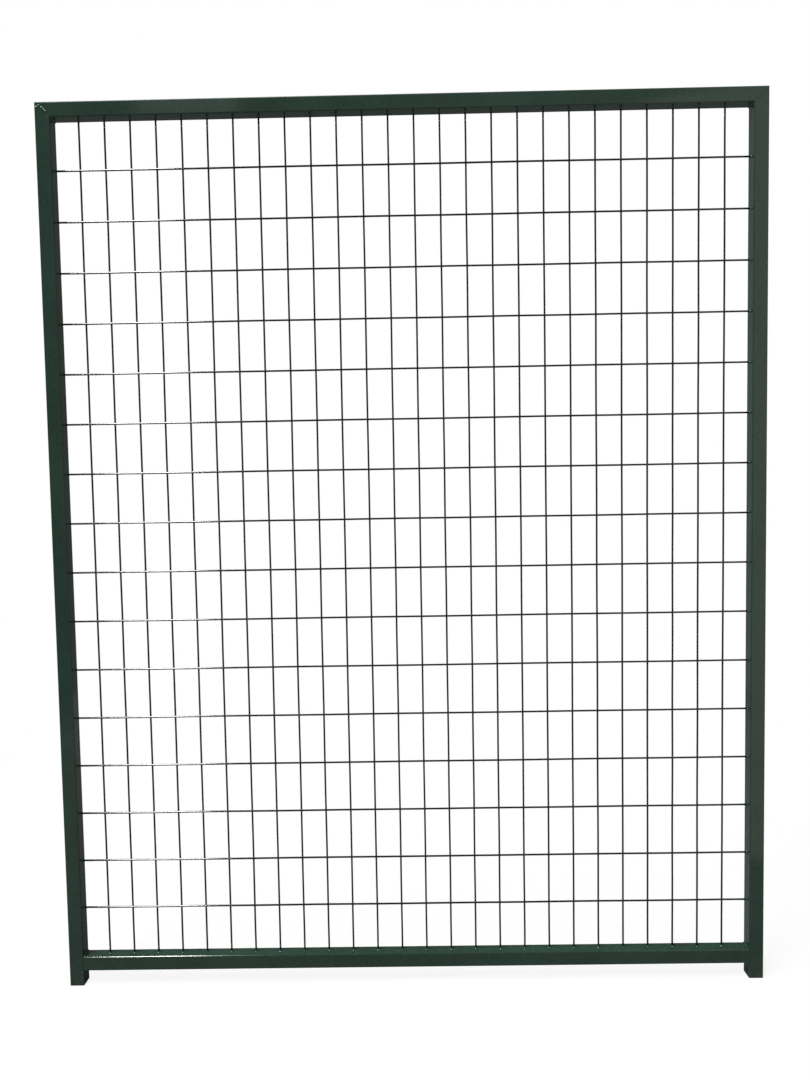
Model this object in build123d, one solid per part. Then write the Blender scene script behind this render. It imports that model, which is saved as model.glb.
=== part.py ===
from build123d import *
import os

# Kennel panel: a welded frame of square steel tube, filled with a welded wire mesh.
# Millimetres. X runs along the rails, Y from the front to the back, Z up.
# The origin is on the floor, midway between the two legs.

# Square tube
TUBE_SIZE = 30.0
TUBE_WALL = 1.5
TUBE_INNER_RADIUS = 0.9
# The posts run past the bottom rail by this much
LEG_DROP = 32.0

# Wire mesh: the first and last wires stand one pitch from the tubes
WIRE_DIAMETER = 3.8
UPRIGHT_COUNT = 26
UPRIGHT_PITCH = 51.85
CROSS_COUNT = 16
CROSS_PITCH = 101.6
# How far a cross wire is pressed into each upright at its spot weld
WIRE_SET_DOWN = 0.5

# Welds
MITRE_ROOT_GAP = 1.2
MITRE_BEAD_LEG = 4.0
MITRE_CAP_WIDTH = 7.0
MITRE_CAP_HEIGHT = 0.8
# How far a mitre's raised bead stays from the outer and the inner corner
MITRE_CAP_OUTER_MARGIN = 8.0
MITRE_CAP_INNER_MARGIN = 11.0
BUTT_BEAD_LEG = 5.0
WIRE_BEAD_REACH = 2.0
WIRE_BEAD_TIP = 0.3
WIRE_BEAD_HEIGHT = 2.4

# Sizes that follow from the ones above
TUBE_OUTER_RADIUS = TUBE_INNER_RADIUS + TUBE_WALL
TUBE_FLAT = TUBE_SIZE - 2 * TUBE_OUTER_RADIUS
BORE_SIZE = TUBE_SIZE - 2 * TUBE_WALL
OPENING_WIDTH = (UPRIGHT_COUNT + 1) * UPRIGHT_PITCH
OPENING_HEIGHT = (CROSS_COUNT + 1) * CROSS_PITCH
OPENING_BOTTOM = LEG_DROP + TUBE_SIZE
OPENING_TOP = OPENING_BOTTOM + OPENING_HEIGHT
PANEL_WIDTH = OPENING_WIDTH + 2 * TUBE_SIZE
PANEL_HEIGHT = OPENING_TOP + TUBE_SIZE
POST_X = (OPENING_WIDTH + TUBE_SIZE) / 2
TOP_RAIL_Z = OPENING_TOP + TUBE_SIZE / 2
BOTTOM_RAIL_Z = LEG_DROP + TUBE_SIZE / 2
MITRE_CAP_LENGTH = TUBE_SIZE * 2 ** 0.5 - MITRE_CAP_OUTER_MARGIN - MITRE_CAP_INNER_MARGIN
# Cross wires lie in front of the mid-plane of the tubes, uprights behind it
WIRE_OFFSET = (WIRE_DIAMETER - WIRE_SET_DOWN) / 2

LEFT = -1
RIGHT = 1


def tube_outline():
    """Outside of the square tube, in section."""
    return RectangleRounded(TUBE_SIZE, TUBE_SIZE, TUBE_OUTER_RADIUS)


def tube_section():
    """Wall of the square tube, in section."""
    return tube_outline() - RectangleRounded(BORE_SIZE, BORE_SIZE, TUBE_INNER_RADIUS)


def upright_tube(section, side):
    """A section run up one post's line, from the floor to the top of the panel."""
    return Pos(side * POST_X, 0, 0) * extrude(section, PANEL_HEIGHT)


def level_tube(section, length, z):
    """A section run along X at height z, centred between the posts."""
    return Pos(-length / 2, 0, z) * extrude(Plane.YZ * section, length)


def mitre_plane(side):
    """Plane of the 45 degree joint at one top corner, facing the rail."""
    return Plane(origin=(side * POST_X, 0, TOP_RAIL_Z), z_dir=(-side, 0, 1))


def post(side):
    """One post: square-cut leg at the floor, mitred at the top."""
    joint = mitre_plane(side).offset(-MITRE_ROOT_GAP / 2)
    return split(upright_tube(tube_section(), side), joint, keep=Keep.BOTTOM)


def top_rail():
    """The top rail, mitred at both ends."""
    rail = level_tube(tube_section(), PANEL_WIDTH, TOP_RAIL_Z)
    for side in (LEFT, RIGHT):
        rail = split(rail, mitre_plane(side).offset(MITRE_ROOT_GAP / 2), keep=Keep.TOP)
    return rail


def bottom_rail():
    """The bottom rail, cut square and butted between the posts."""
    return level_tube(tube_section(), OPENING_WIDTH, BOTTOM_RAIL_Z)


def inside_bead(side, z, leg, turn):
    """Three-cornered bead in the corner of a post and a rail.

    The corner is at height z, and the bead runs down the post for turn -1 or up it for turn 1.
    """
    corner_x = side * OPENING_WIDTH / 2
    toes = Polyline((0, 0), (-side * leg, 0), (0, turn * leg), close=True)
    face = Plane.XZ * make_face(toes)
    return Pos(corner_x, TUBE_FLAT / 2, z) * extrude(face, TUBE_FLAT)


def mitre_cap(side, face):
    """Raised bead along a mitre, on the front of the tubes for face -1 and on the back for face 1."""
    half = MITRE_CAP_WIDTH / 2
    crown = ThreePointArc((-half, 0), (0, MITRE_CAP_HEIGHT), (half, 0))
    section = make_face([crown, Line((half, 0), (-half, 0))])
    outer_corner = Vector(side * PANEL_WIDTH / 2, face * TUBE_SIZE / 2, PANEL_HEIGHT)
    inward = Vector(-side, 0, -1).normalized()
    across = Vector(0, face, 0).cross(inward)
    start = Plane(outer_corner + inward * MITRE_CAP_OUTER_MARGIN, x_dir=across, z_dir=inward)
    return extrude(start * section, MITRE_CAP_LENGTH, dir=inward)


def top_corner_weld(side):
    """Weld that fills a mitre's root gap all round the wall, with beads inside, in front and behind."""
    joint = mitre_plane(side)
    rail_half = level_tube(tube_section(), PANEL_WIDTH, TOP_RAIL_Z)
    rail_half = split(rail_half, joint, keep=Keep.TOP)
    rail_half = split(rail_half, joint.offset(MITRE_ROOT_GAP / 2), keep=Keep.BOTTOM)
    post_half = split(upright_tube(tube_section(), side), joint, keep=Keep.BOTTOM)
    post_half = split(post_half, joint.offset(-MITRE_ROOT_GAP / 2), keep=Keep.TOP)
    beads = [inside_bead(side, OPENING_TOP, MITRE_BEAD_LEG, -1), mitre_cap(side, -1), mitre_cap(side, 1)]
    return rail_half + post_half + beads


def groove_fill(side, face):
    """Flush weld in the groove that a post's rounded corner leaves beside the rail's end.

    The groove is at the front of the tube for face -1 and at the back for face 1.
    """
    width = TUBE_OUTER_RADIUS
    x = side * (OPENING_WIDTH + width) / 2
    y = face * (TUBE_SIZE - TUBE_WALL) / 2
    block = Pos(x, y, BOTTOM_RAIL_Z) * Box(width, TUBE_WALL, TUBE_FLAT)
    return block - upright_tube(tube_outline(), side)


def bottom_corner_weld(side):
    """The four beads round one end of the bottom rail."""
    above = inside_bead(side, OPENING_BOTTOM, BUTT_BEAD_LEG, 1)
    below = inside_bead(side, LEG_DROP, BUTT_BEAD_LEG, -1)
    return [above, below, groove_fill(side, -1), groove_fill(side, 1)]


def upright_x(index):
    """Place of an upright wire, counted from the left."""
    return (index + 1) * UPRIGHT_PITCH - OPENING_WIDTH / 2


def cross_z(index):
    """Height of a cross wire, counted from the bottom."""
    return OPENING_BOTTOM + (index + 1) * CROSS_PITCH


def plain_cross_wire(z):
    """A straight cross wire between the posts' inner faces."""
    face = Plane.YZ * Circle(WIRE_DIAMETER / 2)
    return Pos(-OPENING_WIDTH / 2, -WIRE_OFFSET, z) * extrude(face, OPENING_WIDTH)


def saddled_upright():
    """An upright wire on the line x = 0, with a shallow saddle where each cross wire is welded to it."""
    wire = extrude(Circle(WIRE_DIAMETER / 2), OPENING_HEIGHT)
    wire = Pos(0, WIRE_OFFSET, OPENING_BOTTOM) * wire
    crossings = [plain_cross_wire(cross_z(index)) for index in range(CROSS_COUNT)]
    return wire - crossings


def wire_bead():
    """Ring of weld round a wire that ends on the plane z = 0 and stands up from it."""
    radius = WIRE_DIAMETER / 2
    low = (Align.CENTER, Align.CENTER, Align.MIN)
    ring = Cone(radius + WIRE_BEAD_REACH, radius + WIRE_BEAD_TIP, WIRE_BEAD_HEIGHT, align=low)
    return ring - Cylinder(radius, WIRE_BEAD_HEIGHT, align=low)


def upright_end_beads(z, turn):
    """Beads at one end of all the uprights, turned over at the top rail."""
    bead = Rot(turn, 0, 0) * wire_bead()
    return [Pos(upright_x(index), WIRE_OFFSET, z) * bead for index in range(UPRIGHT_COUNT)]


def cross_end_beads(side):
    """Beads at one post, round the ends of all the cross wires."""
    bead = Rot(0, -side * 90, 0) * wire_bead()
    x = side * OPENING_WIDTH / 2
    return [Pos(x, -WIRE_OFFSET, cross_z(index)) * bead for index in range(CROSS_COUNT)]


def write(node, shape):
    """Write one node: a single solid, or a list of separate solids as a group."""
    if isinstance(shape, list):
        shape = Compound(children=shape)
    export_step(shape, f"parts/{node}.step")


def write_frame():
    """The four tubes and the welds at their corners."""
    for side, name in ((LEFT, "left"), (RIGHT, "right")):
        write(f"{name}_post", post(side))
        write(f"top_{name}_corner_weld", top_corner_weld(side))
        write(f"bottom_{name}_corner_weld", bottom_corner_weld(side))
        write(f"{name}_wire_welds", cross_end_beads(side))
    write("top_rail", top_rail())
    write("bottom_rail", bottom_rail())
    write("top_wire_welds", upright_end_beads(OPENING_TOP, 180))
    write("bottom_wire_welds", upright_end_beads(OPENING_BOTTOM, 0))


def write_mesh():
    """The wires, numbered from the left and from the bottom."""
    upright = saddled_upright()
    for index in range(UPRIGHT_COUNT):
        write(f"upright_wire_{index + 1:02d}", Pos(upright_x(index), 0, 0) * upright)
    for index in range(CROSS_COUNT):
        write(f"cross_wire_{index + 1:02d}", plain_cross_wire(cross_z(index)))


os.makedirs("parts", exist_ok=True)
write_frame()
write_mesh()
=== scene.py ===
"""Looks of a kennel panel: a welded frame of square tube, filled with a welded wire mesh.

Lengths are in metres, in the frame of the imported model: X along the rails, Y from front to back, Z up.
"""
import logging
import math
import random
from dataclasses import dataclass, replace
from enum import Enum
from typing import Any, Union

import bmesh
import bpy
from mathutils import Matrix, Vector


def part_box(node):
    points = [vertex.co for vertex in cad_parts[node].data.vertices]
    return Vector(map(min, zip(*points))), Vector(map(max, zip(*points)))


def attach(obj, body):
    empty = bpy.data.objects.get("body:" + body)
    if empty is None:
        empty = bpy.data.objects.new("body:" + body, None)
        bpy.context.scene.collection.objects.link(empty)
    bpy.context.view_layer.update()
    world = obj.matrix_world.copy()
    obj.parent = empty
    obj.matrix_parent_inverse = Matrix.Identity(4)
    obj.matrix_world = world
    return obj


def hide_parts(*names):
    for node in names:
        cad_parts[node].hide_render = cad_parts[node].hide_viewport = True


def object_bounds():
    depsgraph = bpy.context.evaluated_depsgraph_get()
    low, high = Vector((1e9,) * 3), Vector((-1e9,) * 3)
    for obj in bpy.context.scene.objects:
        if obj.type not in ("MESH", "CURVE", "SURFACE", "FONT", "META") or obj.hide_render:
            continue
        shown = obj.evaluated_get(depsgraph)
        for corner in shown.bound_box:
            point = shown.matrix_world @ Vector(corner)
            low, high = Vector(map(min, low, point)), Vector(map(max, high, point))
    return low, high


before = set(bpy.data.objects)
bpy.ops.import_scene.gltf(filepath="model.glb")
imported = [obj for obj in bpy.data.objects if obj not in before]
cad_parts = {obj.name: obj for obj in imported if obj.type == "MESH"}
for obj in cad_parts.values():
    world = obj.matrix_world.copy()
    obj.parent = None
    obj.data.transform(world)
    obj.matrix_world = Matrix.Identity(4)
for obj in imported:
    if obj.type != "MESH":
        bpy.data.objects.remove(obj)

CAD_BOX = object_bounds()
BODY = "root"
LOG = logging.getLogger("kennel_panel")

Colour = tuple[float, float, float, float]
Tint = tuple[float, float, float]
Point = tuple[float, float, float]
Range = tuple[float, float]
Span = tuple[Vector, Vector]
Flanks = tuple[tuple[float, float], ...]
Inputs = dict[Union[str, int], Any]


def rgb(red: float, green: float, blue: float) -> Colour:
    """Opaque linear colour."""
    return (red, green, blue, 1.0)


def grey(level: float) -> Colour:
    """Opaque linear grey."""
    return rgb(level, level, level)


def clamp(number: float, low: float = 0.0, high: float = 1.0) -> float:
    """Nearest number in a range."""
    return max(low, min(high, number))


class Slot(Enum):
    """The record's material slots."""

    TUBE = "tube_coat"
    WIRE = "wire_coat"
    WELD = "weld_coat"


class Side(Enum):
    """The two ends of the panel, as the sign of X."""

    LEFT = -1
    RIGHT = 1

    @property
    def word(self) -> str:
        """Name of the side, as in the nodes' names."""
        return self.name.lower()


class Face(Enum):
    """Shapes of a lamp's face, as Blender names them."""

    ROUND = "ELLIPSE"
    SQUARE = "RECTANGLE"


class Value:
    """An output of a node, with arithmetic on numbers that adds Math nodes."""

    def __init__(self, graph: "Graph", socket: bpy.types.NodeSocket) -> None:
        """Wrap one output socket of a graph."""
        self.graph = graph
        self.socket = socket

    def _math(self, operation: str, first: "Number", second: "Number") -> "Value":
        """Add one Math node.

        Args:
            operation: Name of the Math node's operation.
            first: First number or value.
            second: Second number or value.

        Returns:
            The node's result.
        """
        node = self.graph.add("ShaderNodeMath", {"operation": operation}, {0: first, 1: second})
        return Value(self.graph, node.outputs[0])

    def __add__(self, other: "Number") -> "Value":
        """Sum."""
        return self._math("ADD", self, other)

    def __radd__(self, other: "Number") -> "Value":
        """Sum, from the right."""
        return self._math("ADD", other, self)

    def __sub__(self, other: "Number") -> "Value":
        """Difference."""
        return self._math("SUBTRACT", self, other)

    def __rsub__(self, other: "Number") -> "Value":
        """Difference, from the right."""
        return self._math("SUBTRACT", other, self)

    def __mul__(self, other: "Number") -> "Value":
        """Product."""
        return self._math("MULTIPLY", self, other)

    def __rmul__(self, other: "Number") -> "Value":
        """Product, from the right."""
        return self._math("MULTIPLY", other, self)

    def ramp(self, low: float, high: float) -> "Value":
        """Smooth step from 0 at low to 1 at high.

        Args:
            low: Value at which the step starts.
            high: Value at which the step ends.

        Returns:
            The stepped value.
        """
        settings = {"interpolation_type": "SMOOTHSTEP"}
        node = self.graph.add("ShaderNodeMapRange", settings, {0: self, 1: low, 2: high})
        return Value(self.graph, node.outputs[0])


Number = Union[float, Value]


@dataclass(frozen=True)
class Grain:
    """Size of a noise: its cells per metre, and its octaves of finer noise."""

    scale: float
    detail: float


class Graph:
    """Node tree of a material or of the world."""

    MIX_FACTOR, MIX_FIRST, MIX_SECOND, MIX_RESULT = 0, 6, 7, 2

    def __init__(self, tree: bpy.types.NodeTree) -> None:
        """Start from an empty tree."""
        self.tree = tree
        tree.nodes.clear()

    def add(self, kind: str, settings: dict[str, Any], inputs: Inputs) -> bpy.types.Node:
        """Add a node.

        Args:
            kind: Type of the node.
            settings: The node's own settings, which are set first.
            inputs: Values, sockets or numbers for its input sockets, by name or place.

        Returns:
            The new node.
        """
        node = self.tree.nodes.new(kind)
        for name, setting in settings.items():
            setattr(node, name, setting)
        for key, given in inputs.items():
            socket = given.socket if isinstance(given, Value) else given
            if isinstance(socket, bpy.types.NodeSocket):
                self.tree.links.new(socket, node.inputs[key])
            else:
                node.inputs[key].default_value = socket
        return node

    def value(self, kind: str, output: str, settings: dict[str, Any], inputs: Inputs) -> Value:
        """Add a node and take one of its outputs.

        Args:
            kind: Type of the node.
            output: Name of the output socket.
            settings: The node's own settings.
            inputs: Values, sockets or numbers for its input sockets.

        Returns:
            The named output.
        """
        return Value(self, self.add(kind, settings, inputs).outputs[output])

    def split(self, vector: Value) -> tuple[Value, Value, Value]:
        """Take a vector apart.

        Args:
            vector: The vector.

        Returns:
            Its X, Y and Z.
        """
        node = self.add("ShaderNodeSeparateXYZ", {}, {0: vector})
        x, y, z = (Value(self, output) for output in node.outputs)
        return x, y, z

    def noise(self, place: Value, grain: Grain) -> Value:
        """Noise over the piece, about 0.5 on average.

        Args:
            place: Coordinates that the noise reads.
            grain: Size of the noise.

        Returns:
            The noise's value.
        """
        inputs = {"Vector": place, "Scale": grain.scale, "Detail": grain.detail}
        return self.value("ShaderNodeTexNoise", "Fac", {}, inputs)

    def mix(self, factor: Number, first: Union[Colour, Value], second: Union[Colour, Value]) -> Value:
        """Blend two colours.

        Args:
            factor: Share of the second colour.
            first: First colour.
            second: Second colour.

        Returns:
            The blended colour.
        """
        inputs = {self.MIX_FACTOR: factor, self.MIX_FIRST: first, self.MIX_SECOND: second}
        node = self.add("ShaderNodeMix", {"data_type": "RGBA"}, inputs)
        return Value(self, node.outputs[self.MIX_RESULT])

    def ray(self, name: str) -> Value:
        """One for rays of the named kind, and zero for the others."""
        return self.value("ShaderNodeLightPath", f"Is {name} Ray", {}, {})


@dataclass(frozen=True)
class Patches:
    """A thin film in patches: where it sets in on the fine noise, and its share when full."""

    low: float
    high: float
    share: float

    def over(self, mottle: Value) -> Value:
        """Share of the film at each point."""
        return mottle.ramp(self.low, self.high) * self.share


@dataclass(frozen=True)
class PowderCoat:
    """Powder paint baked on steel.

    The film is uneven and has some orange peel. Faces that point up are a lighter green in patches, dust
    dulls the panel's top edge, rounded corners are worn thin, and a little dirt from the floor clings to
    the feet.
    """

    name: str
    colour: Colour
    worn: Colour
    dusty: Colour
    roughness: float
    specular: float
    peel_depth: float
    dirt: Colour = rgb(0.046, 0.046, 0.034)
    cloud: Grain = Grain(7.0, 3.0)
    mottle: Grain = Grain(150.0, 4.0)
    peel: Grain = Grain(520.0, 1.5)
    dust_patches: Patches = Patches(0.35, 0.75, 0.35)
    dirt_patches: Patches = Patches(0.3, 0.7, 0.6)
    wear_patches: Patches = Patches(0.6, 0.7, 0.25)

    NOISE_MEAN = 0.5
    CLOUD_TINT, MOTTLE_TINT = 1.1, 0.9
    TINT_RANGE = (0.1, 0.9)
    DEEPEST, LIGHTEST = 0.8, 1.2
    CLOUD_GLOSS, MOTTLE_GLOSS = 0.05, 0.06
    DUSTY_SLOPE = (0.6, 1.0)
    DULL_BELOW_TOP = (0.003, 0.002)
    DULLNESS = 0.45
    DIRT_HEIGHT = 0.05
    PEEL_STRENGTH = 0.5

    def material(self) -> bpy.types.Material:
        """Build the material.

        Returns:
            The new material.
        """
        made = bpy.data.materials.new(self.name)
        made.use_nodes = True
        graph = Graph(made.node_tree)
        place = graph.value("ShaderNodeTexCoord", "Object", {}, {})
        height = graph.split(place)[2]
        cloud = graph.noise(place, self.cloud)
        mottle = graph.noise(place, self.mottle)
        shader = graph.add("ShaderNodeBsdfPrincipled", {}, {
            "Base Color": self._paint(graph, height, cloud, mottle),
            "Roughness": self._gloss(height, cloud, mottle),
            "Normal": self._orange_peel(graph, place),
            "Specular IOR Level": self.specular,
        })
        graph.add("ShaderNodeOutputMaterial", {}, {"Surface": Value(graph, shader.outputs["BSDF"])})
        return made

    def _shade(self, share: float) -> Colour:
        """The paint's colour, made darker or lighter."""
        return rgb(*(share * part for part in self.colour[:3]))

    def _paint(self, graph: Graph, height: Value, cloud: Value, mottle: Value) -> Value:
        """Colour of the paint.

        Args:
            graph: The material's graph.
            height: Height above the floor.
            cloud: Broad unevenness of the film.
            mottle: Fine unevenness of the film.

        Returns:
            The colour to feed the shader.
        """
        mean = self.NOISE_MEAN
        thin = mean + self.CLOUD_TINT * (cloud - mean) + self.MOTTLE_TINT * (mottle - mean)
        deep, light = self._shade(self.DEEPEST), self._shade(self.LIGHTEST)
        paint = graph.mix(thin.ramp(*self.TINT_RANGE), deep, light)
        normal = graph.value("ShaderNodeNewGeometry", "Normal", {}, {})
        # Faces that point up turn a lighter green in patches.
        up = graph.split(normal)[2].ramp(*self.DUSTY_SLOPE)
        paint = graph.mix(up * self.dust_patches.over(mottle), paint, self.dusty)
        foot = 1 - height.ramp(0.0, self.DIRT_HEIGHT)
        paint = graph.mix(foot * self.dirt_patches.over(mottle), paint, self.dirt)
        edge = graph.value("ShaderNodeAttribute", "Fac", {"attribute_name": SquareTube.EDGE_MASK}, {})
        return graph.mix(edge * self.wear_patches.over(mottle), paint, self.worn)

    def _gloss(self, height: Value, cloud: Value, mottle: Value) -> Value:
        """Roughness of the paint.

        Args:
            height: Height above the floor.
            cloud: Broad unevenness of the film.
            mottle: Fine unevenness of the film.

        Returns:
            The roughness to feed the shader.
        """
        mean = self.NOISE_MEAN
        uneven = self.MOTTLE_GLOSS * (mottle - mean) + self.CLOUD_GLOSS * (cloud - mean)
        start, full = (CAD_BOX[1].z - below for below in self.DULL_BELOW_TOP)
        return self.roughness + uneven + self.DULLNESS * height.ramp(start, full)

    def _orange_peel(self, graph: Graph, place: Value) -> Value:
        """Orange peel of the baked film.

        Args:
            graph: The material's graph.
            place: Object coordinates.

        Returns:
            The bumped normal.
        """
        bumps = graph.noise(place, self.peel)
        inputs = {"Height": bumps, "Strength": self.PEEL_STRENGTH, "Distance": self.peel_depth}
        return graph.value("ShaderNodeBump", "Normal", {}, inputs)


TUBE_COAT = PowderCoat(
    name="tube_powder_coat",
    colour=rgb(0.0160, 0.0415, 0.0280),
    worn=rgb(0.045, 0.065, 0.055),
    dusty=rgb(0.028, 0.066, 0.045),
    roughness=0.10,
    specular=0.75,
    peel_depth=0.00003,
)
WELD_COAT = replace(TUBE_COAT, name="weld_powder_coat", roughness=0.12)
# Same powder as the tubes, but painted near black: painted shade for how dark the thin wires look.
WIRE_COAT_AND_SHADE = PowderCoat(
    name="wire_powder_coat",
    colour=rgb(0.0080, 0.0105, 0.0095),
    worn=grey(0.02),
    dusty=rgb(0.016, 0.020, 0.018),
    roughness=0.10,
    specular=0.75,
    peel_depth=0.00002,
)


@dataclass
class Piece:
    """One modelled piece that stands for CAD nodes."""

    name: str
    slot: Slot
    nodes: tuple[str, ...]

    def settle(self, shape: bmesh.types.BMesh, material: bpy.types.Material) -> bpy.types.Object:
        """Turn a finished bmesh into an object that rides on the panel.

        Args:
            shape: The modelled piece, in place. It is freed.
            material: Finish of the piece.

        Returns:
            The new object.
        """
        mesh = bpy.data.meshes.new(self.name)
        shape.to_mesh(mesh)
        shape.free()
        mesh.shade_smooth()
        mesh.materials.append(material)
        piece = bpy.data.objects.new(self.name, mesh)
        bpy.context.scene.collection.objects.link(piece)
        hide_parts(*self.nodes)
        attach(piece, BODY)
        LOG.info("%s: %d faces", self.name, len(mesh.polygons))
        return piece


def bevel(shape: bmesh.types.BMesh, edges: list[bmesh.types.BMEdge], offset: float, segments: int) -> None:
    """Round or chamfer some edges.

    Args:
        shape: Shape that changes.
        edges: The edges.
        offset: Width that goes from each face.
        segments: Faces across the new corner. One makes a chamfer.
    """
    bmesh.ops.bevel(shape, geom=edges, offset=offset, offset_type="OFFSET", affect="EDGES",
                    segments=segments, profile=0.5, material=-1)


@dataclass(frozen=True)
class SquareTube:
    """Square steel tube, modelled up Z and then turned into place."""

    size: float
    wall: float = 0.0015
    inner_radius: float = 0.0009
    corner_segments: int = 6
    end_rounding: float = 0.0003
    end_segments: int = 2
    groove: float = 0.0006

    EDGE_MASK = "edge_wear"
    CORNER_MIDDLE = 0.7
    FLUSH = 1e-5
    SHARP = math.radians(40)

    @property
    def outer_radius(self) -> float:
        """Radius of the rounded corners, outside."""
        return self.inner_radius + self.wall

    @property
    def flat(self) -> float:
        """Width of a face between its rounded corners."""
        return self.size - 2 * self.outer_radius

    def run(self, low: float, high: float) -> bmesh.types.BMesh:
        """Hollow tube up Z with square ends.

        Args:
            low: Height of the lower end.
            high: Height of the upper end.

        Returns:
            The tube, centred on the Z axis.
        """
        shape = bmesh.new()
        place = Matrix.Translation((0, 0, (low + high) / 2))
        place @= Matrix.Diagonal((self.size, self.size, high - low, 1))
        bmesh.ops.create_cube(shape, size=1, matrix=place)
        caps = [face for face in shape.faces if abs(round(face.normal.z)) == 1]
        bmesh.ops.delete(shape, geom=caps, context="FACES_ONLY")
        upright = [edge for edge in shape.edges if edge.calc_length() > self.size * math.sqrt(2)]
        bevel(shape, upright, self.outer_radius, self.corner_segments)
        self._mark_corners(shape)
        bmesh.ops.solidify(shape, geom=shape.faces[:], thickness=self.wall)
        return shape

    def _mark_corners(self, shape: bmesh.types.BMesh) -> None:
        """Write how near each point is to the middle of a rounded corner, for the wear of the paint.

        Args:
            shape: The tube, before it gets its wall.
        """
        mask = shape.verts.layers.float.new(self.EDGE_MASK)
        for vert in shape.verts:
            across = min(abs(vert.co.x), abs(vert.co.y)) - self.flat / 2
            vert[mask] = clamp(across / (self.CORNER_MIDDLE * self.outer_radius))

    def cut(self, shape: bmesh.types.BMesh, point: Vector, normal: Vector) -> None:
        """Cut the tube off on one side of a plane and close the wall's end.

        Args:
            shape: The tube.
            point: Point on the plane.
            normal: Direction of the side that goes.
        """
        geometry = shape.verts[:] + shape.edges[:] + shape.faces[:]
        found = bmesh.ops.bisect_plane(shape, geom=geometry, plane_co=point, plane_no=normal,
                                       clear_outer=True)
        rim = [item for item in found["geom_cut"] if isinstance(item, bmesh.types.BMEdge)]
        bmesh.ops.bridge_loops(shape, edges=rim)

    def prepare_mitre(self, shape: bmesh.types.BMesh) -> None:
        """Grind a groove for the weld along the mitre, on the front and the back.

        Args:
            shape: The tube, centred on the middle of its depth.
        """
        front = self.size / 2 - self.FLUSH
        rim = []
        for edge in shape.edges:
            along = edge.verts[1].co - edge.verts[0].co
            flush = all(abs(vert.co.y) > front for vert in edge.verts)
            if flush and min(abs(along.x), abs(along.z)) > self.wall:
                rim.append(edge)
        bevel(shape, rim, self.groove, 1)

    def round_ends(self, shape: bmesh.types.BMesh) -> None:
        """Round the cut edges a little, as paint does."""
        sharp = [edge for edge in shape.edges if edge.is_manifold and edge.calc_face_angle() > self.SHARP]
        bevel(shape, sharp, self.end_rounding, self.end_segments)


@dataclass
class TubeFrame:
    """The two posts and the two rails."""

    tube: SquareTube
    finish: bpy.types.Material
    seam: float = 0.00005

    def build(self) -> None:
        """Model and dress the four tubes."""
        for side in Side:
            self._post(side)
        self._rail("top_rail", mitred=True)
        self._rail("bottom_rail", mitred=False)

    def _post(self, side: Side) -> None:
        """One post, with a square-cut leg and a mitred top.

        Args:
            side: End of the panel.
        """
        name = f"{side.word}_post"
        low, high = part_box(name)
        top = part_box("top_rail")[1].z
        shape = self.tube.run(low.z, top)
        joint = Vector((0, 0, top - self.tube.size / 2 - self.seam))
        self.tube.cut(shape, joint, Vector((-side.value, 0, 1)))
        self.tube.prepare_mitre(shape)
        self.tube.round_ends(shape)
        bmesh.ops.translate(shape, vec=((low.x + high.x) / 2, 0, 0), verts=shape.verts[:])
        self._settle(name, shape)

    def _rail(self, name: str, mitred: bool) -> None:
        """One rail along X.

        Args:
            name: Node of the rail.
            mitred: Whether the ends are cut at 45 degrees to meet the posts.
        """
        low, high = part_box(name)
        middle = (low.z + high.z) / 2
        if mitred:
            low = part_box("left_post")[0]
            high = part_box("right_post")[1]
        shape = self.tube.run(low.x, high.x)
        turn = Matrix.Rotation(math.radians(90), 4, "Y")
        bmesh.ops.transform(shape, matrix=turn, verts=shape.verts[:])
        if mitred:
            for side in Side:
                joint = Vector((side.value * (high.x - self.tube.size / 2 - self.seam), 0, 0))
                self.tube.cut(shape, joint, Vector((side.value, 0, -1)))
            self.tube.prepare_mitre(shape)
        self.tube.round_ends(shape)
        bmesh.ops.translate(shape, vec=(0, 0, middle), verts=shape.verts[:])
        self._settle(name, shape)

    def _settle(self, name: str, shape: bmesh.types.BMesh) -> None:
        """Place one tube and keep its flat faces flat in shading.

        Args:
            name: Node that the tube stands for.
            shape: The tube.
        """
        low, high = CAD_BOX
        for vert in shape.verts:
            vert.co.x = clamp(vert.co.x, low.x, high.x)
            vert.co.z = clamp(vert.co.z, low.z, high.z)
        piece = Piece(f"{name}_tube", Slot.TUBE, (name,)).settle(shape, self.finish)
        weighted = piece.modifiers.new("flat_faces", "WEIGHTED_NORMAL")
        weighted.keep_sharp = True


def join(target: bmesh.types.BMesh, part: bmesh.types.BMesh, place: Matrix) -> None:
    """Add a copy of one shape to another.

    Args:
        target: Shape that grows.
        part: Shape that is copied. It is freed.
        place: Where the copy goes.
    """
    bmesh.ops.transform(part, matrix=place, verts=part.verts[:])
    mesh = bpy.data.meshes.new("part")
    part.to_mesh(mesh)
    part.free()
    target.from_mesh(mesh)
    bpy.data.meshes.remove(mesh)


def round_bar(length: float, radius: float, sides: int, rings: int) -> bmesh.types.BMesh:
    """Round bar up Z from the origin, with rings along it.

    Args:
        length: Length of the bar.
        radius: Radius of the bar.
        sides: Faces round the bar.
        rings: Rings between the two ends.

    Returns:
        The bar.
    """
    shape = bmesh.new()
    middle = Matrix.Translation((0, 0, length / 2))
    bmesh.ops.create_cone(shape, cap_ends=True, segments=sides, radius1=radius, radius2=radius,
                          depth=length, matrix=middle)
    along = [edge for edge in shape.edges if abs(edge.verts[0].co.z - edge.verts[1].co.z) > length / 2]
    bmesh.ops.subdivide_edges(shape, edges=along, cuts=rings)
    return shape


def turn_to(start: Vector, end: Vector) -> Matrix:
    """Transform that lays the Z axis from one point towards another.

    Args:
        start: Where the origin goes.
        end: Point that the Z axis then runs through.

    Returns:
        The transform.
    """
    turn = (end - start).to_track_quat("Z", "Y").to_matrix().to_4x4()
    return Matrix.Translation(start) @ turn


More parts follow.
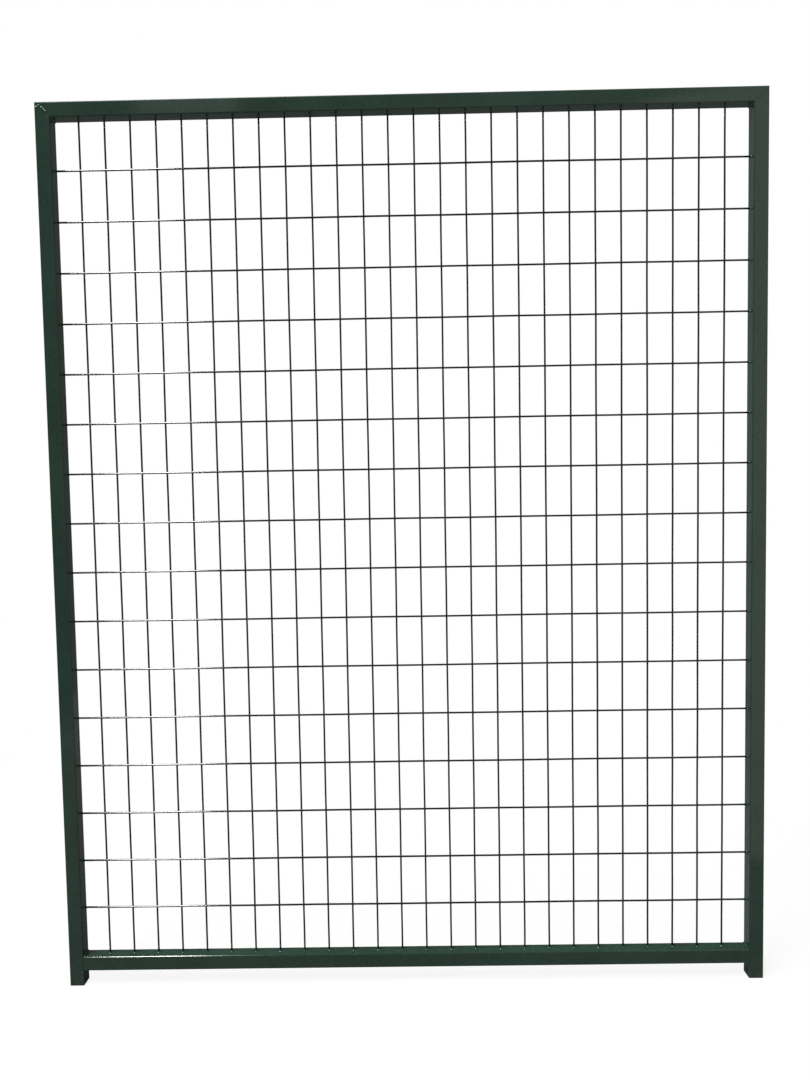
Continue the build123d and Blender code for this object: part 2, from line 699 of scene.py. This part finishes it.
@dataclass(frozen=True)
class WeldBead:
    """A hand-laid bead: a bar with curved ripples and ends that run out.

    The section is given by its flanks. Each has the direction it faces, in degrees round the bead's line
    with 90 pointing out of the joint, and its distance from that line.
    """

    start: Vector
    end: Vector
    out: Vector
    flanks: Flanks
    ripple_depth: float = 0.00022
    ripple_pitch: float = 0.0016
    run_out: float = 0.0028
    unevenness: float = 0.05
    sharpness: float = 5.0
    sides: int = 16
    rings_per_ripple: int = 4

    RIPPLE_BOW = 0.6
    MEAN_WIDTH = 0.95
    SWELLS = (0.6, 1.4)
    LEAST_TAPER = 0.001

    def add_to(self, shape: bmesh.types.BMesh, chance: random.Random) -> None:
        """Lay the bead into a shape.

        Args:
            shape: Shape that grows.
            chance: Source of the unevenness of the hand.
        """
        length = (self.end - self.start).length
        rings = round(length / self.ripple_pitch * self.rings_per_ripple)
        bar = round_bar(length, 1.0, self.sides, rings)
        phase = chance.uniform(0, math.pi)
        swell = chance.uniform(*self.SWELLS) / length
        for vert in bar.verts:
            along = vert.co.z
            lead = along / self.ripple_pitch + self.RIPPLE_BOW * vert.co.x ** 2
            dip = self.ripple_depth * (1 - abs(math.sin(math.pi * lead + phase)))
            wide = self.MEAN_WIDTH + self.unevenness * math.sin(2 * math.pi * swell * along + phase)
            vert.co.xy *= wide * self._reach(math.atan2(vert.co.y, vert.co.x))
            if vert.co.y > 0:
                vert.co.y -= dip
            left = clamp(min(along, length - along) / self.run_out)
            taper = max(1 - (1 - left) ** 2, self.LEAST_TAPER)
            vert.co.x *= math.sqrt(taper)
            vert.co.y *= taper
        line = (self.end - self.start).normalized()
        turn = Matrix((self.out.cross(line), self.out, line)).transposed().to_4x4()
        join(shape, bar, Matrix.Translation(self.start) @ turn)

    def _reach(self, turn: float) -> float:
        """Reach of the section in one direction, with its corners rounded.

        Args:
            turn: The direction, in radians.

        Returns:
            Distance of the surface from the bead's line.
        """
        pull = 0.0
        for facing, distance in self.flanks:
            pull += (max(0.0, math.cos(turn - math.radians(facing))) / distance) ** self.sharpness
        return pull ** (-1 / self.sharpness)


@dataclass(frozen=True)
class MitreRun:
    """One run of a mitre's raised bead.

    Its ends are measured along the mitre from the outer corner, and across it towards the rail. Its rise is
    a share of the height that the CAD bead stands proud of the tubes.
    """

    start: tuple[float, float]
    end: tuple[float, float]
    half_width: float
    rise: float
    ripple_depth: float = 0.0
    ripple_pitch: float = 0.0016


@dataclass
class CornerWelds:
    """Welds at the four corners of the frame."""

    tube: SquareTube
    finish: bpy.types.Material
    mitre_share: float = 0.75
    butt_share: float = 0.7
    sink: float = 0.0003
    seam_radius: float = 0.0011
    groove_radius: float = 0.0013
    root_radius: float = 0.001
    root_depth: float = 0.0002
    skin: float = 0.0001

    # A low bead along the mitre, one across it, two blobs where the weld was struck, a rippled last run.
    MITRE_RUNS = (
        MitreRun((0.0100, 0.0003), (0.0312, 0.0003), 0.0032, 0.35),
        MitreRun((0.0126, -0.0085), (0.0136, 0.0030), 0.0031, 0.33),
        MitreRun((0.0079, -0.0053), (0.0145, -0.0053), 0.0033, 0.95),
        MitreRun((0.0093, 0.0008), (0.0131, 0.0008), 0.0019, 0.58),
        MitreRun((0.0158, 0.0028), (0.0300, 0.0018), 0.00138, 0.44, 0.00025, 0.0015),
    )
    BACK_STEPS = 12
    FILLET_LINE = 0.3
    GROOVE_LINE = 0.3
    SEAM_RIPPLE = 0.06
    SEAM_TURN = 45

    @property
    def half_depth(self) -> Vector:
        """Reach of a bead from the middle of the tube's depth to its end, in the tube's rounded corner."""
        return Vector((0, (self.tube.flat + self.tube.outer_radius) / 2, 0))

    def build(self) -> None:
        """Lay and dress the welds of every corner."""
        for side in Side:
            self._settle(f"top_{side.word}_corner_weld", self._top_beads(side))
            self._settle(f"bottom_{side.word}_corner_weld", self._bottom_beads(side))

    def _settle(self, node: str, beads: list[WeldBead]) -> None:
        """Place the beads of one corner.

        Args:
            node: Node that the beads stand for.
            beads: The beads.
        """
        shape = bmesh.new()
        chance = random.Random(node)
        for bead in beads:
            bead.add_to(shape, chance)
        Piece(f"{node}_beads", Slot.WELD, (node,)).settle(shape, self.finish)

    def _fillet(self, corner: Vector, leg: float, out: Vector) -> WeldBead:
        """Bead in an inside corner, from front to back.

        Args:
            corner: The corner, in the middle of the tube's depth.
            leg: How far the bead reaches along each tube.
            out: Direction out of the corner, halfway between the tubes.

        Returns:
            The bead.
        """
        middle = self.FILLET_LINE * leg
        face = leg / math.sqrt(2) - middle
        root = middle / math.sqrt(2) + self.sink
        line = corner + middle * out
        ends = (line - self.half_depth, line + self.half_depth)
        return WeldBead(*ends, out, ((90, face), (-45, root), (225, root)))

    def _seam(self, start: Vector, end: Vector, out: Vector, radius: float) -> WeldBead:
        """Flush bead that fills a groove.

        Args:
            start: One end of the bead's line.
            end: Its other end.
            out: Direction out of the groove.
            radius: Half the bead's width.

        Returns:
            The bead.
        """
        flanks = tuple((turn, radius) for turn in range(0, 360, self.SEAM_TURN))
        return WeldBead(start, end, out, flanks, ripple_depth=self.SEAM_RIPPLE * radius)

    def _top_beads(self, side: Side) -> list[WeldBead]:
        """Beads all round one mitre.

        Args:
            side: End of the panel.

        Returns:
            The inside bead, the seam on the outside edge and the beads in front and behind.
        """
        outer = Vector((side.value * CAD_BOX[1].x, 0, CAD_BOX[1].z))
        inward = Vector((-side.value, 0, -1))
        inner = outer + self.tube.size * inward
        leg = inner.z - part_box(f"top_{side.word}_corner_weld")[0].z
        radius = self.seam_radius
        beads = [self._fillet(inner, self.mitre_share * leg, inward.normalized())]
        edge = outer + (radius + self.skin) * inward
        ends = (edge - self.half_depth, edge + self.half_depth)
        beads.append(self._seam(*ends, -inward.normalized(), radius))
        for face in (-1, 1):
            beads.extend(self._mitre_beads(outer, inward.normalized(), face))
        return beads

    def _mitre_beads(self, outer: Vector, inward: Vector, face: int) -> list[WeldBead]:
        """Beads along one face of a mitre, with raised ones short of both corners.

        Args:
            outer: Outer corner of the mitre, in the middle of the tube's depth.
            inward: Direction along the mitre, away from that corner.
            face: -1 for the front, 1 for the back.

        Returns:
            The root bead in the groove, and the raised runs over it.
        """
        out = Vector((0, face, 0))
        to_rail = Vector((inward.x, 0, -inward.z))
        foot = outer + self.tube.size / 2 * out
        root = foot - (self.root_radius + self.root_depth) * out
        length = math.sqrt(2) * self.tube.size - self.root_radius
        ends = (root + self.root_radius * inward, root + length * inward)
        beads = [self._seam(*ends, out, self.root_radius)]
        for run in self.MITRE_RUNS:
            ends = [foot + along * inward + across * to_rail for along, across in (run.start, run.end)]
            flanks = self._round_back(run)
            beads.append(WeldBead(*ends, out, flanks, run.ripple_depth, run.ripple_pitch, run.half_width,
                                  unevenness=0.0, sharpness=40.0, sides=48, rings_per_ripple=8))
        return beads

    def _round_back(self, run: MitreRun) -> Flanks:
        """Flanks of a bead that stands on a tube's face with a round back.

        Args:
            run: The run of the bead.

        Returns:
            The flanks: the underside, a little way into the wall, and those that wrap the round back.
        """
        rise = run.rise * (CAD_BOX[1].y - self.tube.size / 2)
        radius = (run.half_width ** 2 + rise ** 2) / (2 * rise)
        lean = math.asin(run.half_width / radius)
        flanks = [(270.0, self.tube.wall / 3)]
        for step in range(-self.BACK_STEPS, self.BACK_STEPS + 1):
            turn = lean * step / self.BACK_STEPS
            flanks.append((90 + math.degrees(turn), radius - (radius - rise) * math.cos(turn)))
        return tuple(flanks)

    def _bottom_beads(self, side: Side) -> list[WeldBead]:
        """Beads all round one end of the bottom rail.

        Args:
            side: End of the panel.

        Returns:
            The beads above and below the rail and in the grooves in front and behind.
        """
        low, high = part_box("bottom_rail")
        weld_low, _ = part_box(f"bottom_{side.word}_corner_weld")
        end = side.value * high.x
        leg = self.butt_share * (low.z - weld_low.z)
        beads = []
        for turn, height in ((1, high.z), (-1, low.z)):
            out = Vector((-side.value, 0, turn)).normalized()
            beads.append(self._fillet(Vector((end, 0, height)), leg, out))
        for face in (-1, 1):
            x = end + side.value * self.GROOVE_LINE * self.tube.outer_radius
            y = face * (self.tube.size / 2 - self.groove_radius - self.skin)
            ends = [Vector((x, y, z)) for z in (low.z + self.tube.wall, high.z - self.tube.wall)]
            beads.append(self._seam(*ends, Vector((0, face, 0)), self.groove_radius))
        return beads


@dataclass
class WireMesh:
    """Upright and cross wires with the spot welds where they meet."""

    finish: bpy.types.Material
    sides: int = 14
    ring_pitch: float = 0.025
    wander: float = 0.00016
    wave_lengths: Range = (0.25, 0.6)
    held_length: float = 0.05
    nugget_reach: float = 1.38
    nugget_depth: float = 0.85
    nugget_spread: Range = (0.92, 1.06)

    def __post_init__(self) -> None:
        """Find the wires among the nodes."""
        self.uprights = sorted(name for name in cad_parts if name.startswith("upright_wire_"))
        self.crosses = sorted(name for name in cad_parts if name.startswith("cross_wire_"))
        low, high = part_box(self.crosses[0])
        self.radius = (high.z - low.z) / 2

    def line(self, node: str) -> Span:
        """Ends of one wire's middle line.

        Args:
            node: Node of the wire.

        Returns:
            Its lower or left end, and its upper or right end.
        """
        low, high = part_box(node)
        middle = (low + high) / 2
        start, end = middle.copy(), middle.copy()
        axis = max(range(3), key=lambda i: high[i] - low[i])
        start[axis], end[axis] = low[axis], high[axis]
        return start, end

    def build(self) -> None:
        """Draw and dress every wire."""
        for node in self.uprights:
            self._settle(node, self._drawn(node))
        for node in self.crosses:
            shape = self._drawn(node)
            self._add_spot_welds(shape, node)
            self._settle(node, shape)

    def _settle(self, node: str, shape: bmesh.types.BMesh) -> None:
        """Place one wire."""
        Piece(f"{node}_coated", Slot.WIRE, (node,)).settle(shape, self.finish)

    def _drawn(self, node: str) -> bmesh.types.BMesh:
        """Drawn wire that wanders a hair off its line between its held ends.

        Args:
            node: Node of the wire.

        Returns:
            The wire, in place.
        """
        start, end = self.line(node)
        length = (end - start).length
        chance = random.Random(node)
        bends = [(chance.uniform(*self.wave_lengths), chance.uniform(0, 2 * math.pi)) for _ in range(2)]
        bar = round_bar(length, self.radius, self.sides, round(length / self.ring_pitch))
        for vert in bar.verts:
            free = min(1.0, min(vert.co.z, length - vert.co.z) / self.held_length)
            for axis, (wave, phase) in enumerate(bends):
                vert.co[axis] += free * self.wander * math.sin(2 * math.pi * vert.co.z / wave + phase)
        bmesh.ops.transform(bar, matrix=turn_to(start, end), verts=bar.verts[:])
        return bar

    def _add_spot_welds(self, shape: bmesh.types.BMesh, node: str) -> None:
        """Nuggets squeezed out where the uprights are welded to one cross wire.

        Args:
            shape: Shape that grows.
            node: Node of the cross wire.
        """
        chance = random.Random(f"{node} welds")
        height = self.line(node)[0].z
        for upright in self.uprights:
            spread = self.nugget_reach * self.radius * chance.uniform(*self.nugget_spread)
            place = Matrix.Translation((self.line(upright)[0].x, 0, height))
            place @= Matrix.Diagonal((spread, self.nugget_depth * self.radius, spread, 1))
            bmesh.ops.create_icosphere(shape, subdivisions=1, radius=1, matrix=place)


@dataclass
class EndWelds:
    """Small beads where the wires end on the tubes."""

    finish: bpy.types.Material
    sides: int = 12
    rings: int = 3
    spread: Range = (0.75, 1.0)
    neck_share: float = 1.04
    lobes: int = 2
    wobble: float = 0.14
    hollow: float = 2.0

    def build(self, wires: WireMesh) -> None:
        """Lay and dress the beads of all four tubes.

        Args:
            wires: The mesh whose wires they hold.
        """
        ends: dict[str, list[Span]] = {"bottom": [], "top": [], "left": [], "right": []}
        for start, end in map(wires.line, wires.uprights):
            ends["bottom"].append((start, end))
            ends["top"].append((end, start))
        for start, end in map(wires.line, wires.crosses):
            ends["left"].append((start, end))
            ends["right"].append((end, start))
        for tube, lines in ends.items():
            node = f"{tube}_wire_welds"
            low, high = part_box(node)
            height = min(high - low)
            width = high.y - low.y
            shape = bmesh.new()
            chance = random.Random(node)
            for start, end in lines:
                join(shape, self._bead(width / 2, wires.radius, height, chance), turn_to(start, end))
            Piece(f"{node}_beads", Slot.WELD, (node,)).settle(shape, self.finish)

    def _bead(self, foot: float, neck: float, height: float, chance: random.Random) -> bmesh.types.BMesh:
        """Hollow-flanked blob round a wire's end, on the plane z = 0, with a sharp rim there.

        Args:
            foot: Radius on the tube.
            neck: Radius of the wire.
            height: Reach along the wire.
            chance: Source of the unevenness of the hand.

        Returns:
            The bead.
        """
        bead = round_bar(height, neck, self.sides, self.rings)
        phase = chance.uniform(0, 2 * math.pi)
        spread = chance.uniform(*self.spread) * (foot - neck)
        for vert in bead.verts:
            rise = vert.co.z / height
            turn = math.atan2(vert.co.y, vert.co.x)
            lobe = 1 - self.wobble + self.wobble * math.sin(self.lobes * turn + phase)
            radius = neck * self.neck_share + spread * lobe * (1 - rise) ** self.hollow
            vert.co.xy *= radius / neck
        for edge in bead.edges:
            edge.smooth = max(vert.co.z for vert in edge.verts) > 0
        return bead


@dataclass(frozen=True)
class Lamp:
    """A soft lamp. The first side of its face lies along the panel, as far as its aim allows."""

    name: str
    place: Point
    target: Point
    size: tuple[float, float]
    power: float
    face: Face = Face.SQUARE
    colour: Tint = (1.0, 1.0, 1.0)

    def hang(self) -> None:
        """Hang the lamp and point it at its target."""
        data = bpy.data.lights.new(self.name, "AREA")
        data.shape = self.face.value
        data.size, data.size_y = self.size
        data.energy = self.power
        data.color = self.colour
        lamp = bpy.data.objects.new(self.name, data)
        bpy.context.scene.collection.objects.link(lamp)
        aim = (Vector(self.target) - Vector(self.place)).normalized()
        across = (Vector((1, 0, 0)) - aim.x * aim).normalized()
        turn = Matrix((across, across.cross(aim), -aim)).transposed().to_4x4()
        lamp.matrix_world = Matrix.Translation(self.place) @ turn
        lamp.visible_camera = False


@dataclass
class Studio:
    """Floor, backdrop, lamps and camera."""

    focal_pixels: float = 832.2
    long_side_pixels: float = 1080.0
    sensor: float = 36.0
    camera_place: Point = (0.01216, -1.7121, 1.02863)
    pan: float = 0.5966
    tilt: float = -3.2452
    roll: float = -0.9962
    room_light: float = 0.34
    lighter_left: float = 0.25
    back_fill: float = 0.5
    reflected_room: float = 0.18
    brighter_left: float = 0.14
    darker_ceiling: float = 0.5
    ceiling_edge: Range = (1.22, 1.31)
    darker_low: float = 0.04
    low_edge: Range = (0.2, 0.4)
    floor_radius: float = 2.6
    floor_sides: int = 96
    floor_tone: float = 0.8
    floor_glow: float = 0.88
    floor_fade: Range = (0.6, 2.21)
    floor_bounce: float = 0.22
    floor_mirrored: float = 0.13
    floor_behind: Range = (0.08, 0.22)
    floor_width: Range = (-1.0, 1.0)
    panel_foot: Range = (-0.05, 0.05)
    lamps: tuple[Lamp, ...] = (
        Lamp("ceiling_light", (-4.08, -4.06, 11.64), (-0.55, 0.0, 0.9), (1.6, 9.0), 2000.0, Face.ROUND),
        Lamp("side_softbox", (1.0, -0.55, 1.05), (0.75, 0.0, 1.05), (0.75, 2.1), 1.35,
             colour=(1.0, 0.86, 0.70)),
        Lamp("window_light", (-0.775, -1.35, 2.51), (-0.44, 0.0, 1.81), (0.35, 0.25), 0.085),
    )

    def build(self) -> None:
        """Set up everything round the panel."""
        scene = bpy.context.scene
        scene.view_settings.view_transform = "Standard"
        self._camera(scene)
        self._world(scene)
        self._floor(scene)
        for lamp in self.lamps:
            lamp.hang()

    def _camera(self, scene: bpy.types.Scene) -> None:
        """Camera at the photograph's place.

        Args:
            scene: The scene that it looks at.
        """
        data = bpy.data.cameras.new("camera")
        data.sensor_width = self.sensor
        data.lens = self.focal_pixels / self.long_side_pixels * self.sensor
        camera = bpy.data.objects.new("camera", data)
        scene.collection.objects.link(camera)
        turn = Matrix.Rotation(math.radians(self.pan), 4, "Z")
        turn @= Matrix.Rotation(math.radians(90 + self.tilt), 4, "X")
        turn @= Matrix.Rotation(math.radians(self.roll), 4, "Z")
        camera.matrix_world = Matrix.Translation(self.camera_place) @ turn
        scene.camera = camera

    def _world(self, scene: bpy.types.Scene) -> None:
        """White backdrop, soft light from all round, and a dimmer room in what the paint mirrors.

        Args:
            scene: The scene that it lights.
        """
        world = bpy.data.worlds.new("studio")
        scene.world = world
        world.use_nodes = True
        graph = Graph(world.node_tree)
        way = graph.value("ShaderNodeTexCoord", "Generated", {}, {})
        right, back, up = graph.split(way)
        lit = self.room_light * (1 - self.lighter_left * right) + self.back_fill * back.ramp(0.0, 1.0)
        ceiling = (back + up).ramp(*self.ceiling_edge)
        low = (0 - up).ramp(*self.low_edge)
        slope = self.brighter_left * right * back * (1 - low)
        room = self.reflected_room - slope - self.darker_low * low
        reflected = room * (1 - self.darker_ceiling * ceiling)
        mirrored = graph.ray("Glossy") + graph.ray("Transmission")
        strength = lit + graph.ray("Camera") * (1 - lit) + mirrored * (reflected - lit)
        light = {"Color": grey(1.0), "Strength": strength}
        shader = graph.value("ShaderNodeBackground", "Background", {}, light)
        graph.add("ShaderNodeOutputWorld", {}, {"Surface": shader})

    def _floor_finish(self) -> bpy.types.Material:
        """Pale finish that fades into the backdrop away from the panel.

        Returns:
            The new material.
        """
        material = bpy.data.materials.new("pale_floor")
        material.use_nodes = True
        graph = Graph(material.node_tree)
        place = graph.value("ShaderNodeTexCoord", "Object", {}, {})
        away = graph.value("ShaderNodeVectorMath", "Value", {"operation": "LENGTH"}, {0: place})
        seen = graph.ray("Camera")
        fade = self.floor_glow + (1 - self.floor_glow) * away.ramp(*self.floor_fade)
        right, back, _ = graph.split(place)
        behind = graph.mix(right.ramp(*self.floor_width), *map(grey, self.floor_behind))
        mirrored = graph.mix(back.ramp(*self.panel_foot), grey(self.floor_mirrored), behind)
        shade = graph.mix(graph.ray("Glossy"), grey(self.floor_bounce), mirrored)
        colour = graph.mix(seen, shade, grey(self.floor_tone))
        shader = graph.add("ShaderNodeMixShader", {}, {
            0: seen * fade,
            1: graph.value("ShaderNodeBsdfDiffuse", "BSDF", {}, {"Color": colour}),
            2: graph.value("ShaderNodeEmission", "Emission", {}, {"Color": grey(1.0)}),
        })
        graph.add("ShaderNodeOutputMaterial", {}, {"Surface": Value(graph, shader.outputs[0])})
        return material

    def _floor(self, scene: bpy.types.Scene) -> None:
        """Round pale floor.

        Args:
            scene: The scene that it goes into.
        """
        shape = bmesh.new()
        bmesh.ops.create_circle(shape, cap_ends=True, segments=self.floor_sides, radius=self.floor_radius)
        mesh = bpy.data.meshes.new("floor")
        shape.to_mesh(mesh)
        shape.free()
        mesh.materials.append(self._floor_finish())
        floor = bpy.data.objects.new("floor", mesh)
        scene.collection.objects.link(floor)


def main() -> None:
    """Build the studio and every piece in order."""
    logging.basicConfig(level=logging.INFO, format="%(message)s")
    Studio().build()
    low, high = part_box("left_post")
    tube = SquareTube(high.x - low.x)
    coats = (TUBE_COAT, WELD_COAT, WIRE_COAT_AND_SHADE)
    tube_finish, weld_finish, wire_finish = (coat.material() for coat in coats)
    TubeFrame(tube, tube_finish).build()
    CornerWelds(tube, weld_finish).build()
    wires = WireMesh(wire_finish)
    wires.build()
    EndWelds(weld_finish).build(wires)


if __name__ == "__main__":
    main()
